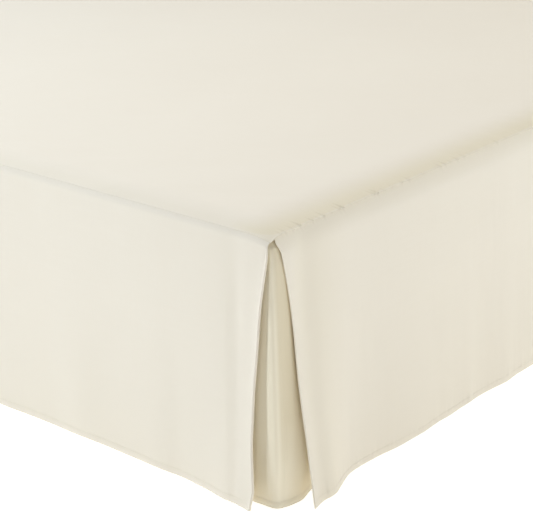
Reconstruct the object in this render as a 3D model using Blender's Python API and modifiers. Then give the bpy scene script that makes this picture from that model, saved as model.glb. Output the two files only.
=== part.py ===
"""Tailored bed skirt for a queen bed, hanging on a plain bed base.

A flat platform cloth lies on the base. Three flat drops hang from its seams, at the foot and along
both sides. At each foot corner the two drops end in folded edges that part towards the floor, and a
pleat insert wraps round the corner behind them.

Metres, +Z up. X runs across the bed and +Y towards the head. The floor is at z = 0.
"""

import math
from collections import namedtuple

import bmesh
import bpy
import numpy as np
from mathutils import Vector

# The bed's nominal size, the drop of the cloth, and its hems' height above the floor
BED_WIDTH = 1.524
BED_LENGTH = 2.032
DROP = 0.406
HEM_HEIGHT = 0.004
SEAM_HEIGHT = HEM_HEIGHT + DROP

# The cloth
CLOTH = 0.0015
PIECE_GAP = 0.0004

# Where the platform rolls over the edge of the base
EDGE_RUN = 0.050
EDGE_FALL = 0.012
EDGE_STEPS = (0.0, 0.006, 0.014, 0.023, 0.032, 0.041, 0.050)
DECK_STEPS_ACROSS = 6
DECK_STEPS_ALONG = 8
DECK_TOP = SEAM_HEIGHT + EDGE_FALL

# How a drop leaves its seam and how far it stands out at the hem
SHOULDER_OUT = 0.008
SHOULDER_DEPTH = 0.038
HEM_OUT = 0.015
ROW_SHARES = (0.0, 0.012, 0.03, 0.055, 0.095, 0.19, 0.32, 0.46, 0.60, 0.73, 0.86, 1.0)
FOLD_GROWTH = 1.15

# A drop's columns: their distances from a folded end, then one about every pitch
END_FADE = 0.150
CORNER_COLUMNS = (0.0, 0.012, 0.026, 0.042, 0.060, 0.080, 0.102, 0.126)
COLUMN_PITCH = 0.040

# The flare of the drops at the foot corners: the distance along the seam where it is
# whole, where it has died away, and how far it adds to the hem
Flare = namedtuple("Flare", "whole gone depth")
FOOT_FLARE = Flare(0.060, 0.180, 0.013)
SIDE_FLARE = Flare(0.065, 0.150, 0.026)

# The folded end of each drop at the foot corner: a small roll whose layer turns back inside
ROLL_TOP = 0.0020
ROLL_HEM = 0.0030
ROLL_TURNS = (36, 72, 108, 144)
ROLL_OPENS_BY = 1 / 6
TURNED_BACK = 0.018

# Distance of the folded ends from the corner, by height above the floor
FoldEdge = namedtuple("FoldEdge", "height foot side")
FOLD_EDGES = (
    FoldEdge(0.004, 0.029, 0.035),
    FoldEdge(0.035, 0.025, 0.035),
    FoldEdge(0.104, 0.029, 0.033),
    FoldEdge(0.183, 0.028, 0.028),
    FoldEdge(0.264, 0.021, 0.028),
    FoldEdge(0.303, 0.020, 0.027),
    FoldEdge(0.347, 0.014, 0.022),
    FoldEdge(0.389, 0.007, 0.017),
    FoldEdge(0.404, 0.005, 0.010),
)

# The soft folds of each drop: the place along the seam from the foot or right-hand
# corner, the half-width of the fold, and how far it stands out or in at the hem
Fold = namedtuple("Fold", "place width depth")
SIDE_RIGHT_FOLDS = (
    Fold(0.185, 0.040, -0.003),
    Fold(0.305, 0.060, 0.005),
    Fold(0.477, 0.030, -0.002),
    Fold(0.700, 0.070, -0.003),
    Fold(0.930, 0.080, 0.004),
    Fold(1.180, 0.060, -0.003),
    Fold(1.440, 0.090, 0.004),
    Fold(1.760, 0.070, -0.003),
    Fold(2.000, 0.080, 0.003),
)
SIDE_LEFT_FOLDS = (
    Fold(0.220, 0.050, -0.003),
    Fold(0.390, 0.070, 0.004),
    Fold(0.640, 0.050, -0.003),
    Fold(0.860, 0.080, 0.003),
    Fold(1.120, 0.070, -0.003),
    Fold(1.330, 0.060, 0.004),
    Fold(1.610, 0.080, -0.003),
    Fold(1.880, 0.070, 0.003),
)
FOOT_FOLDS = (
    Fold(0.205, 0.030, -0.002),
    Fold(0.436, 0.060, -0.001),
    Fold(0.590, 0.070, 0.003),
    Fold(0.790, 0.060, -0.003),
    Fold(0.985, 0.080, 0.004),
    Fold(1.200, 0.050, -0.003),
    Fold(1.330, 0.030, 0.002),
)

# The pleat insert: its rounding at the corner, its reach behind each drop, how far its
# seam lies inside theirs, and the distance over which it comes out below the seam
INSERT_ROUND = 0.010
INSERT_FOOT_REACH = 0.062
INSERT_SIDE_REACH = 0.082
INSERT_SEAM_IN = 0.0046
INSERT_OUT = 0.006
INSERT_RISE_DEPTH = 0.070
INSERT_TURNS = (0, 30, 60, 90)
INSERT_FOOT_COLUMNS = (1.0, 0.72, 0.46, 0.22)
INSERT_SIDE_COLUMNS = (0.16, 0.34, 0.54, 0.77, 1.0)
INSERT_ROWS = (0.0, 0.04, 0.10, 0.18, 0.34, 0.50, 0.66, 0.83, 1.0)
INSERT_FOLDS = (
    Fold(-0.032, 0.022, 0.004),
    Fold(0.034, 0.026, 0.009),
    Fold(0.082, 0.012, -0.003),
)

# The bed base
BASE_INSET = 0.0065
BASE_CORNER = 0.050
BASE_EDGE = 0.040
BASE_FOOT_EDGE = 0.012
BASE_TOP = DECK_TOP - CLOTH - PIECE_GAP
LEG_HEIGHT = 0.182
LEG_TOP_RADIUS = 0.030
LEG_FOOT_RADIUS = 0.021
LEG_SIDES = 24
LEGS_ACROSS = 0.640
LEGS_ALONG = 0.860

# The foot stands further out than the head, so the bed moves up by half of that and the
# whole part stays centred on the origin
FOOT_OUT = HEM_OUT + FOOT_FLARE.depth
CENTRE = FOOT_OUT / 2
FOOT_SEAM = CENTRE - BED_LENGTH / 2

# Linear colours: ivory cloth, white ticking and pale wood
IVORY = (0.84, 0.79, 0.69)
IVORY_DEEP = (0.80, 0.74, 0.62)
TICKING = (0.78, 0.78, 0.76)
BEECH = (0.55, 0.38, 0.22)


def material(name, colour, roughness):
    """A plain finish for one piece."""
    finish = bpy.data.materials.new(name)
    finish.use_nodes = True
    shader = finish.node_tree.nodes["Principled BSDF"]
    shader.inputs["Base Color"].default_value = (*colour, 1.0)
    shader.inputs["Roughness"].default_value = roughness
    shader.inputs["Metallic"].default_value = 0.0
    return finish


def smooth(share):
    """A soft step from 0 to 1."""
    share = min(1.0, max(0.0, share))
    return share * share * (3.0 - 2.0 * share)


def edge_fall(inside):
    """How far the platform has fallen at a distance inside one of its seams."""
    share = max(0.0, 1.0 - inside / EDGE_RUN)
    return EDGE_FALL * share**2


def deck_height(from_side, from_end):
    """The platform's top at its distances from the nearest side seam and end."""
    return DECK_TOP - math.hypot(edge_fall(from_side), edge_fall(from_end))


def under_deck(from_side, from_end):
    """The height at which a cloth sewn under the platform begins."""
    return deck_height(from_side, from_end) - CLOTH - PIECE_GAP


def fold_sum(folds, place):
    """The folds' depth at one place along a hem."""
    total = 0.0
    for fold in folds:
        total += fold.depth * math.exp(-(((place - fold.place) / fold.width) ** 2))
    return total


def flare(shape, place):
    """The outward flare near a corner, at a distance along the seam from it."""
    share = (place - shape.whole) / (shape.gone - shape.whole)
    return shape.depth * (1.0 - smooth(share))


def add_sheet(name, columns, rows, place, location, finish):
    """A cloth piece: a grid whose points are placed by a rule, thickened inwards."""
    grid = bmesh.new()
    last_column = len(columns) - 1
    last_row = len(rows) - 1
    bmesh.ops.create_grid(grid, x_segments=last_column, y_segments=last_row, size=0.5)
    for point in grid.verts:
        column = columns[round((point.co.x + 0.5) * last_column)]
        row = rows[round((point.co.y + 0.5) * last_row)]
        point.co = place(column, row)
    mesh = bpy.data.meshes.new(name)
    grid.to_mesh(mesh)
    grid.free()
    mesh.shade_smooth()
    mesh.materials.append(finish)
    sheet = bpy.data.objects.new(name, mesh)
    sheet.location = location
    thickness = sheet.modifiers.new("cloth", "SOLIDIFY")
    thickness.thickness = CLOTH
    thickness.offset = -1.0
    thickness.use_even_offset = True
    return sheet


class Drop:
    """One hanging panel, in the frame of its seam: along it, out from it and up."""

    def __init__(self, length, folds, corner_flare, edge_column, both_ends):
        self.length = length
        self.folds = folds
        self.corner_flare = corner_flare
        self.heights = [row.height for row in FOLD_EDGES]
        self.ends = [getattr(row, edge_column) for row in FOLD_EDGES]
        self.both_ends = both_ends

    def end_place(self, height):
        """How far the folded end is from its corner at a height."""
        return float(np.interp(height, self.heights, self.ends))

    def out(self, along, share):
        """How far the face stands outside the seam, at a share of the way down."""
        depth = share * DROP
        shoulder = 1.0 - (1.0 - min(1.0, depth / SHOULDER_DEPTH)) ** 2
        hem = HEM_OUT - SHOULDER_OUT + fold_sum(self.folds, along)
        hem += flare(self.corner_flare, along)
        if self.both_ends:
            hem += flare(self.corner_flare, self.length - along)
        return SHOULDER_OUT * shoulder + hem * share**FOLD_GROWTH

    def point(self, column, share):
        """The place of one grid point: along the seam, out from it, and its height."""
        distance, turn, far = column
        roll = ROLL_TOP + (ROLL_HEM - ROLL_TOP) * smooth(share / ROLL_OPENS_BY)
        level = SEAM_HEIGHT - DROP * share
        shift = self.end_place(level) + roll
        fade = max(0.0, 1.0 - distance / END_FADE)
        axis = distance + shift * fade
        along = axis - roll * math.sin(turn)
        if far:
            axis = self.length - axis
            along = self.length - along
        top = under_deck(0.0, min(along, self.length - along))
        height = top + (HEM_HEIGHT - top) * share
        out = self.out(axis, share) - roll + roll * math.cos(turn)
        return along, out, height


def face_places(length, both_ends):
    """The distances of a drop's columns from its near end, closer together at a corner."""
    last = length / 2 if both_ends else length
    count = round((last - END_FADE) / COLUMN_PITCH)
    far = [END_FADE + (last - END_FADE) * step / count for step in range(count + 1)]
    return list(CORNER_COLUMNS) + far


def drop_columns(length, both_ends):
    """A drop's columns: the distance from an end, the turn round its roll, and which end."""
    turned = [(TURNED_BACK, math.pi, False), (TURNED_BACK / 3, math.pi, False)]
    rolled = [(0.0, math.radians(turn), False) for turn in reversed(ROLL_TURNS)]
    if both_ends:
        half = [(place, 0.0, False) for place in face_places(length, True)]
        near = turned + rolled + half
        far = [(place, turn, True) for place, turn, _ in reversed(near[:-1])]
        return near + far
    face = [(place, 0.0, False) for place in face_places(length, False)]
    return turned + rolled + face


def make_drops(finishes):
    """The foot drop and the two side drops."""
    foot = Drop(BED_WIDTH, FOOT_FOLDS, FOOT_FLARE, "foot", True)
    right = Drop(BED_LENGTH, SIDE_RIGHT_FOLDS, SIDE_FLARE, "side", False)
    left = Drop(BED_LENGTH, SIDE_LEFT_FOLDS, SIDE_FLARE, "side", False)

    def foot_point(column, share):
        along, out, height = foot.point(column, share)
        return Vector((-along, -out, height))

    def right_point(column, share):
        along, out, height = right.point(column, share)
        return Vector((out, along, height))

    def left_point(column, share):
        along, out, height = left.point(column, share)
        return Vector((-out, along, height))

    right_corner = (BED_WIDTH / 2, FOOT_SEAM, 0.0)
    left_corner = (-BED_WIDTH / 2, FOOT_SEAM, 0.0)
    foot_columns = drop_columns(BED_WIDTH, True)
    side_columns = drop_columns(BED_LENGTH, False)
    upwards = tuple(reversed(ROW_SHARES))
    return [
        add_sheet(
            "drop_foot",
            foot_columns,
            ROW_SHARES,
            foot_point,
            right_corner,
            finishes["drop_foot"],
        ),
        add_sheet(
            "drop_side_right",
            side_columns,
            upwards,
            right_point,
            right_corner,
            finishes["drop_side_right"],
        ),
        add_sheet(
            "drop_side_left",
            side_columns,
            ROW_SHARES,
            left_point,
            left_corner,
            finishes["drop_side_left"],
        ),
    ]


def insert_point(distance, turn, share):
    """A point of the pleat insert round the corner at the origin of its own frame.

    The distance is negative on the foot side and positive on the long side, past the
    rounded corner, where the turn says how far round it the point is.
    """
    depth = share * DROP
    place = distance + math.copysign(INSERT_ROUND, distance) if distance else 0.0
    out = -INSERT_SEAM_IN + INSERT_OUT * smooth(depth / INSERT_RISE_DEPTH)
    out += fold_sum(INSERT_FOLDS, place) * share
    reach = INSERT_ROUND + out
    across = -INSERT_ROUND + reach * math.sin(turn) + min(0.0, distance)
    along = INSERT_ROUND - reach * math.cos(turn) + max(0.0, distance)
    top = under_deck(max(0.0, -across), max(0.0, along))
    height = top + (HEM_HEIGHT - top) * share
    return Vector((across, along, height))


def insert_columns():
    """The insert's columns, from behind the foot drop round to behind the side drop."""
    foot_reach = INSERT_FOOT_REACH - INSERT_ROUND
    side_reach = INSERT_SIDE_REACH - INSERT_ROUND
    columns = [(-foot_reach * step, 0.0) for step in INSERT_FOOT_COLUMNS]
    columns += [(0.0, math.radians(turn)) for turn in INSERT_TURNS]
    columns += [(side_reach * step, math.pi / 2) for step in INSERT_SIDE_COLUMNS]
    return columns


def make_inserts(finishes):
    """The underlay behind each foot corner."""

    def right_point(column, share):
        return insert_point(*column, share)

    def left_point(column, share):
        point = insert_point(*column, share)
        point.x = -point.x
        return point

    upwards = tuple(reversed(INSERT_ROWS))
    return [
        add_sheet(
            "pleat_insert_right",
            insert_columns(),
            upwards,
            right_point,
            (BED_WIDTH / 2, FOOT_SEAM, 0.0),
            finishes["pleat_insert_right"],
        ),
        add_sheet(
            "pleat_insert_left",
            insert_columns(),
            INSERT_ROWS,
            left_point,
            (-BED_WIDTH / 2, FOOT_SEAM, 0.0),
            finishes["pleat_insert_left"],
        ),
    ]


def deck_places(length, steps):
    """Places from -length/2 to length/2, close together where the cloth rolls over."""
    half = length / 2
    low = [step - half for step in EDGE_STEPS]
    flat = length - 2 * EDGE_RUN
    middle = [EDGE_RUN - half + flat * step / steps for step in range(1, steps)]
    high = [half - step for step in reversed(EDGE_STEPS)]
    return low + middle + high


def make_platform(finishes):
    """The deck cloth, flat on the base and rolled down to its seams."""

    def point(across, along):
        height = deck_height(BED_WIDTH / 2 - abs(across), BED_LENGTH / 2 - abs(along))
        return Vector((across, along, height))

    return add_sheet(
        "platform",
        deck_places(BED_WIDTH, DECK_STEPS_ACROSS),
        deck_places(BED_LENGTH, DECK_STEPS_ALONG),
        point,
        (0.0, CENTRE, 0.0),
        finishes["platform"],
    )


def add_mesh(name, shape, location, finish):
    """An object made from an edited mesh."""
    mesh = bpy.data.meshes.new(name)
    shape.to_mesh(mesh)
    shape.free()
    mesh.shade_smooth()
    mesh.set_sharp_from_angle(angle=math.radians(40))
    mesh.materials.append(finish)
    piece = bpy.data.objects.new(name, mesh)
    piece.location = location
    return piece


def edges_where(shape, test):
    """The edges whose two ends both pass a test."""
    return [edge for edge in shape.edges if all(test(point.co) for point in edge.verts)]


def make_box_spring(finishes):
    """The upholstered foundation, with rounded corners and a soft top edge."""
    width = BED_WIDTH - 2 * BASE_INSET
    length = BED_LENGTH - 2 * BASE_INSET
    height = BASE_TOP - LEG_HEIGHT - PIECE_GAP
    shape = bmesh.new()
    bmesh.ops.create_cube(shape, size=1.0)
    bmesh.ops.scale(shape, vec=(width, length, height), verts=shape.verts)
    upright = []
    for edge in shape.edges:
        low, high = sorted(point.co.z for point in edge.verts)
        if high - low > height / 2:
            upright.append(edge)
    bmesh.ops.bevel(shape, geom=upright, offset=BASE_CORNER, segments=5, profile=0.5, affect="EDGES")
    top = edges_where(shape, lambda place: place.z > height / 2 - PIECE_GAP)
    bmesh.ops.bevel(shape, geom=top, offset=BASE_EDGE, segments=5, profile=0.5, affect="EDGES")
    foot = edges_where(shape, lambda place: place.z < PIECE_GAP - height / 2)
    bmesh.ops.bevel(shape, geom=foot, offset=BASE_FOOT_EDGE, segments=2, profile=0.5, affect="EDGES")
    middle = BASE_TOP - height / 2
    return add_mesh("box_spring", shape, (0.0, CENTRE, middle), finishes["box_spring"])


def make_legs(finishes):
    """Six turned legs in two rows under the base."""
    legs = []
    for side in (-1, 1):
        for step in (-1, 0, 1):
            name = f"leg_{len(legs) + 1}"
            shape = bmesh.new()
            bmesh.ops.create_cone(
                shape,
                cap_ends=True,
                segments=LEG_SIDES,
                radius1=LEG_FOOT_RADIUS,
                radius2=LEG_TOP_RADIUS,
                depth=LEG_HEIGHT,
            )
            place = (side * LEGS_ACROSS, CENTRE + step * LEGS_ALONG, LEG_HEIGHT / 2)
            legs.append(add_mesh(name, shape, place, finishes[name]))
    return legs


def make_finishes():
    """One finish for each piece."""
    finishes = {"box_spring": material("box_spring", TICKING, 0.9)}
    for name in ("platform", "drop_foot", "drop_side_left", "drop_side_right"):
        finishes[name] = material(name, IVORY, 0.75)
    for name in ("pleat_insert_left", "pleat_insert_right"):
        finishes[name] = material(name, IVORY_DEEP, 0.75)
    for number in range(1, 7):
        finishes[f"leg_{number}"] = material(f"leg_{number}", BEECH, 0.5)
    return finishes


def main():
    """Empty the scene and build the bed skirt in a collection of its own."""
    for piece in list(bpy.data.objects):
        bpy.data.objects.remove(piece)
    finishes = make_finishes()
    group = bpy.data.collections.new("bed_skirt")
    bpy.context.scene.collection.children.link(group)
    anchor = bpy.data.objects.new("bed", None)
    group.objects.link(anchor)
    pieces = [make_platform(finishes), make_box_spring(finishes)]
    pieces += make_drops(finishes)
    pieces += make_inserts(finishes)
    pieces += make_legs(finishes)
    for piece in pieces:
        group.objects.link(piece)
        piece.parent = anchor


main()
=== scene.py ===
import math
from collections import namedtuple

import bmesh
import bpy
import numpy as np
from mathutils import Matrix, Vector


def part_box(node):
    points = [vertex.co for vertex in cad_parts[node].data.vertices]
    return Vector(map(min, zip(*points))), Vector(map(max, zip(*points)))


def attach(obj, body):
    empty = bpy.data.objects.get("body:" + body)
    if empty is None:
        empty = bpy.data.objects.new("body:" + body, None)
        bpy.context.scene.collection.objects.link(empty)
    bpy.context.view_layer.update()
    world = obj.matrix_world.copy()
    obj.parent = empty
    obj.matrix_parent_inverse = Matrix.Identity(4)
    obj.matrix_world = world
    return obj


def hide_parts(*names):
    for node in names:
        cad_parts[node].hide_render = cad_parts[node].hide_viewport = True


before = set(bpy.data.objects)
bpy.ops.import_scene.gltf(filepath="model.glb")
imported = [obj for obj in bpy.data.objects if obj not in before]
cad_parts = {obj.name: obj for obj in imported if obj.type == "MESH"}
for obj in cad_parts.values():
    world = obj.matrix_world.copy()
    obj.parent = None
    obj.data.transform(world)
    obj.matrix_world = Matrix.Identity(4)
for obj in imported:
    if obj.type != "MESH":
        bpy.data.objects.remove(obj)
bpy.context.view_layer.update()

# The looks of the bed skirt: fine cloth sheets in the folds of their solids, with the rolled
# seams, seam puckers, turned hems and their stitches, on a plain box spring with wooden legs.

# Sizes read from the frame, in metres
DECK_LOW, DECK_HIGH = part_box("platform")
BED_WIDTH = DECK_HIGH.x - DECK_LOW.x
BED_LENGTH = DECK_HIGH.y - DECK_LOW.y
DECK_TOP = DECK_HIGH.z
FOOT_SEAM = DECK_LOW.y
BASE_LOW, BASE_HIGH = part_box("box_spring")
HEM_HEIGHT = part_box("drop_foot")[0].z

# The cloth's edges: the platform falls to its seams over a longer run at the sides
CLOTH = 0.0011
SIDE_RUN = 0.066
END_RUN = 0.042
EDGE_FALL = 0.012
SEAM_HEIGHT = DECK_TOP - EDGE_FALL
DROP = SEAM_HEIGHT - HEM_HEIGHT

# Each drop's face: how far its hem stands out, the powers by which its folds, flares and dent
# grow on the way down, and the distance over which the lean of a folded end fades
HEM_OUT = 0.015
FOLD_GROWTH = 1.15
FLARE_GROWTH = 2.2
DENT_GROWTH = 0.25
END_FADE = 0.150

# The seam: how far the platform's rim curls past it and down, how far below the rim the drop
# begins, and the uneven ditch pressed into the platform beside each side seam
RIM_CURL = ((0.0004, 0.0003), (0.0008, 0.0008), (0.0010, 0.0014))
DROP_TUCK = 0.0006
DITCH_WIDTH = 0.0016
DITCH_PLACE = 0.0018
DITCH_UNEVEN = 0.6
DITCH_PITCH = 0.040

# Each drop's shoulder below its seam: how far out and how deep it is, the depth of its seam's
# ditch, the lip beside its folded end, and the size of the roll there
Shoulder = namedtuple("Shoulder", "out depth ditch lip roll")
FOOT_SHOULDER = Shoulder(0.0056, 0.009, 0.0, 0.0040, 0.8)
SIDE_SHOULDER = Shoulder(0.0062, 0.032, 0.0003, 0.0014, 0.5)

# The lip, the fine bead and the groove along a folded end, how quickly lip and bead set in
# below the seam, and the close columns that carry them
LIP_REACH = 0.008
LIP_ONSET = 4.0
BEAD_ONSET = 20.0
BEAD_HEIGHT = 0.0004
BEAD_WIDTH = 0.0010
BEAD_GROOVE = 0.0003
BEAD_GROOVE_PLACE = 0.0032
EDGE_COLUMNS = (0.0, 0.0006, 0.0012, 0.0018, 0.0025, 0.0032, 0.0039, 0.0046, 0.0056, 0.0070)

# The outward flare of a hem: the distances from its corner to which it is whole and at which
# it is gone, and its depth
Flare = namedtuple("Flare", "whole gone depth")
FOOT_FLARE = Flare(0.060, 0.180, 0.013)
SIDE_FLARE = Flare(0.065, 0.150, 0.026)

# The folded ends at the foot corners, by height above the floor: how far the foot drop's and
# the side drops' edges stand back from the corner, and the radius of their roll
FoldEdge = namedtuple("FoldEdge", "height foot side roll")
FOLD_EDGES = (
    FoldEdge(0.004, 0.0253, 0.0322, 0.0030),
    FoldEdge(0.035, 0.0203, 0.0335, 0.0030),
    FoldEdge(0.104, 0.0253, 0.0342, 0.0030),
    FoldEdge(0.183, 0.0224, 0.0310, 0.0030),
    FoldEdge(0.264, 0.0150, 0.0298, 0.0029),
    FoldEdge(0.303, 0.0120, 0.0269, 0.0027),
    FoldEdge(0.347, 0.0060, 0.0217, 0.0023),
    FoldEdge(0.389, 0.0005, 0.0146, 0.0018),
    FoldEdge(0.404, 0.0005, 0.0087, 0.0012),
    FoldEdge(0.410, 0.0005, 0.0093, 0.0010),
)

# The steps round a roll, and the cloth turned back behind it: its steps and width, where it
# begins to widen and over what run, and the turn beyond which it lies
ROLL_TURNS = 12
TURNED_STEPS = 5
TURNED_BACK = 0.018
TURNED_FROM = 0.004
TURNED_RUN = 0.035
TURNED_ROUND = math.pi - 0.01

# The soft folds of each drop, by their place along it from its foot or right-hand corner: the
# solids' own, with narrower ones near the photo's corner added or in place of theirs
Fold = namedtuple("Fold", "place width depth")
SIDE_RIGHT_FOLDS = (
    Fold(0.185, 0.040, -0.003),
    Fold(0.305, 0.060, 0.005),
    Fold(0.385, 0.016, 0.0012),
    Fold(0.445, 0.015, 0.0012),
    Fold(0.477, 0.030, -0.002),
    Fold(0.549, 0.020, 0.0018),
    Fold(0.700, 0.070, -0.003),
    Fold(0.930, 0.080, 0.004),
    Fold(1.180, 0.060, -0.003),
    Fold(1.440, 0.090, 0.004),
    Fold(1.760, 0.070, -0.003),
    Fold(2.000, 0.080, 0.003),
)
SIDE_LEFT_FOLDS = (
    Fold(0.220, 0.050, -0.003),
    Fold(0.390, 0.070, 0.004),
    Fold(0.640, 0.050, -0.003),
    Fold(0.860, 0.080, 0.003),
    Fold(1.120, 0.070, -0.003),
    Fold(1.330, 0.060, 0.004),
    Fold(1.610, 0.080, -0.003),
    Fold(1.880, 0.070, 0.003),
)
FOOT_FOLDS = (
    Fold(0.105, 0.030, -0.0012),
    Fold(0.219, 0.038, 0.0022),
    Fold(0.391, 0.036, 0.0020),
    Fold(0.590, 0.070, 0.003),
    Fold(0.790, 0.060, -0.003),
    Fold(0.985, 0.080, 0.004),
    Fold(1.200, 0.050, -0.003),
    Fold(1.330, 0.030, 0.002),
)

# The shallow upright dents beside the foot corners: in both side drops, and at the right-hand
# end of the foot drop
SIDE_DENT = Fold(0.061, 0.020, -0.0045)
FOOT_DENT = Fold(0.060, 0.014, -0.0022)

# The pleat insert: its rounded corner, its reach behind each drop, the ease in its flat width,
# how far inside the seams it is sewn in, how far and over what depth it comes out, and its folds
INSERT_ROUND = 0.010
INSERT_FOOT_REACH = 0.062
INSERT_SIDE_REACH = 0.082
INSERT_SEAM_IN = 0.0046
INSERT_OUT = 0.0060
INSERT_RISE_DEPTH = 0.014
INSERT_FOLD_GROWTH = 0.75
INSERT_FOLDS = (
    Fold(-0.032, 0.022, 0.004),
    Fold(0.034, 0.026, 0.009),
    Fold(0.082, 0.012, -0.003),
)

# The bulge low in the insert beside the side drop, which begins and ends at shares of the way
# down; these pairs and those below are each a start and a run
INSERT_BULGE = Fold(0.052, 0.022, 0.0085)
BULGE_BEGINS = (0.30, 0.40)
BULGE_ENDS = (0.84, 0.14)

# The crease down the insert beside the foot drop's fold, which fades out round the corner
CREASE_TOP = -0.0031
CREASE_LEAN = -0.0378
CREASE_WIDTH = 0.0030
CREASE_SET_BACK = -0.0015
CREASE_RISE = 0.0030
CREASE_BEGINS = (0.010, 0.030)
CREASE_ENDS = (0.340, 0.050)
CREASE_SIDE_FADE = (0.010, 0.030)

# The upright ridge at the insert's corner, which begins at a depth and ends at a share
CORNER_RIDGE = 0.0017
CORNER_RIDGE_TURN = 0.30
RIDGE_BEGINS = (0.060, 0.060)
RIDGE_ENDS = (0.86, 0.12)

# Puckers along the right-hand seam: the place along it from the corner, the reach over the
# platform, the half-width of one ridge, and its height
Pucker = namedtuple("Pucker", "place reach width depth")
SIDE_PUCKERS = (
    Pucker(0.024, 0.014, 0.0022, 0.0013),
    Pucker(0.033, 0.018, 0.0023, 0.0015),
    Pucker(0.048, 0.016, 0.0023, 0.0015),
    Pucker(0.064, 0.018, 0.0025, 0.0023),
    Pucker(0.076, 0.010, 0.0022, 0.0011),
    Pucker(0.089, 0.014, 0.0023, 0.0019),
    Pucker(0.102, 0.010, 0.0022, 0.0011),
    Pucker(0.113, 0.016, 0.0025, 0.0021),
    Pucker(0.130, 0.010, 0.0022, 0.0009),
    Pucker(0.147, 0.018, 0.0023, 0.0019),
    Pucker(0.155, 0.022, 0.0025, 0.0027),
    Pucker(0.172, 0.009, 0.0022, 0.0011),
    Pucker(0.186, 0.011, 0.0022, 0.0009),
    Pucker(0.208, 0.009, 0.0022, 0.0009),
    Pucker(0.225, 0.016, 0.0023, 0.0023),
    Pucker(0.233, 0.018, 0.0025, 0.0025),
    Pucker(0.248, 0.010, 0.0022, 0.0011),
    Pucker(0.267, 0.010, 0.0022, 0.0011),
    Pucker(0.290, 0.011, 0.0023, 0.0015),
    Pucker(0.307, 0.016, 0.0025, 0.0019),
    Pucker(0.342, 0.010, 0.0023, 0.0011),
    Pucker(0.384, 0.016, 0.0025, 0.0019),
    Pucker(0.396, 0.018, 0.0027, 0.0021),
    Pucker(0.410, 0.011, 0.0023, 0.0015),
    Pucker(0.427, 0.016, 0.0027, 0.0019),
    Pucker(0.444, 0.014, 0.0025, 0.0015),
    Pucker(0.458, 0.009, 0.0023, 0.0013),
    Pucker(0.502, 0.010, 0.0025, 0.0011),
    Pucker(0.532, 0.011, 0.0025, 0.0015),
)

# The puckers beyond those: where they begin along each seam, their spacing, and their sizes
RIGHT_DRAWN_FROM = 0.560
LEFT_DRAWN_FROM = 0.020
FOOT_DRAWN_FROM = 0.100
PUCKER_STEP = 0.012
PUCKER_GAP = (0.012, 0.060)
PUCKER_GAP_CHANCE = 0.4
PUCKER_REACH = (0.008, 0.018)
PUCKER_WIDTH = (0.0028, 0.0040)
PUCKER_DEPTH = (0.0004, 0.0008)
FOOT_PUCKER_SHARE = 0.12

# The puckers' slant, the curve and fade of one ridge, and its share and reach below the seam
PUCKER_SLANT = -0.32
PUCKER_WAVE = 2.2
PUCKER_SPREAD = 0.55
PUCKER_FADE = 1.5
PUCKER_BELOW = 0.5
PUCKER_BELOW_REACH = 1.8

# The drops' faint waves, and the rise and fall of their hems
WAVE_DEPTH = 0.0004
WAVE_PITCH = 0.090
HEM_LIFT = 0.0008
HEM_LIFT_PITCH = 0.120
HEM_LIFT_GROWTH = 8

# The drops' columns, and their rows: two spans below the seam with their counts, the count
# down to the hem, and the close rows across its groove
FINE_REACH = 0.60
FINE_PITCH = 0.0018
FOOT_PITCH = 0.0036
COARSE_PITCH = 0.0080
SHOULDER_ROWS = ((0.0, 0.012, 9), (0.014, 0.040, 11))
BODY_ROWS = 24
GROOVE_ROWS_ABOVE = 0.006
GROOVE_ROWS_BELOW = 0.004
GROOVE_ROW_PITCH = 0.0008
LAST_ROW = 0.003

# The platform's columns in from each side seam, as the end and pitch of the closest and the
# count from there to the band's end, those between the bands, and its rows further up
EDGE_BAND = 0.100
RIGHT_COLUMNS = (0.036, 0.0018, 14)
LEFT_COLUMNS = (0.030, 0.003, 12)
INNER_COLUMNS = 20
FAR_ROWS = 150
HEAD_ROWS = 12

# The platform's faint swells: their height, their level, and their run in from the seams
DECK_SWELL = 0.0001
SWELL_LEVEL = 2.5
SWELL_RUN = 0.12

# The insert's columns behind the foot drop, round its corner and behind the side drop, its
# rows, its crumples just below the seam and its faint waves further down
INSERT_COLUMNS = (44, 16, 30)
INSERT_ROWS = 24
INSERT_ROWS_ABOVE = 0.005
INSERT_CRUMPLE = 0.0010
CRUMPLE_LEAN = 0.3
CRUMPLE_PITCH = 0.020
CRUMPLE_REACH = 0.020
INSERT_WAVE = 0.0005
INSERT_WAVE_LEAN = 0.05
INSERT_WAVE_PITCH = 0.030

# The box spring: its rounded corners and upper edge, and the steps along and round them
BASE_CORNER = 0.050
LEAST_CORNER = 0.006
BASE_EDGE = 0.040
BASE_SINK = 0.0012
STRAIGHT_STEPS = (30, 40)
CORNER_STEPS = 8

# The rings of its cover: underneath, as insets and heights, up the padded border and on top
UNDERSIDE_RINGS = ((0.30, 0.0006), (0.012, 0.0002), (0.004, 0.003), (0.0012, 0.010))
BORDER_FROM = 0.012
BORDER_INSET = 0.0028
BORDER_PUFF = 0.003
BORDER_ROWS = 14
EDGE_INSET = 0.0010
EDGE_SINK = 0.0003
TOP_RING = 0.30

# The tape bound round it at both edges: its radius, how much taller it is, and its places
TAPE_RADIUS = 0.0035
TAPE_TALLER = 1.5
TAPE_STEPS = 8
TAPE_INSET = 0.0016
TAPE_LOW = 0.011
TAPE_HIGH = 0.002

# The legs and the sharpest angles, in degrees, that stay smooth on them and on the cover
LEG_SIDES = 40
LEG_SMOOTH = 40
COVER_SMOOTH = 50

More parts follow.
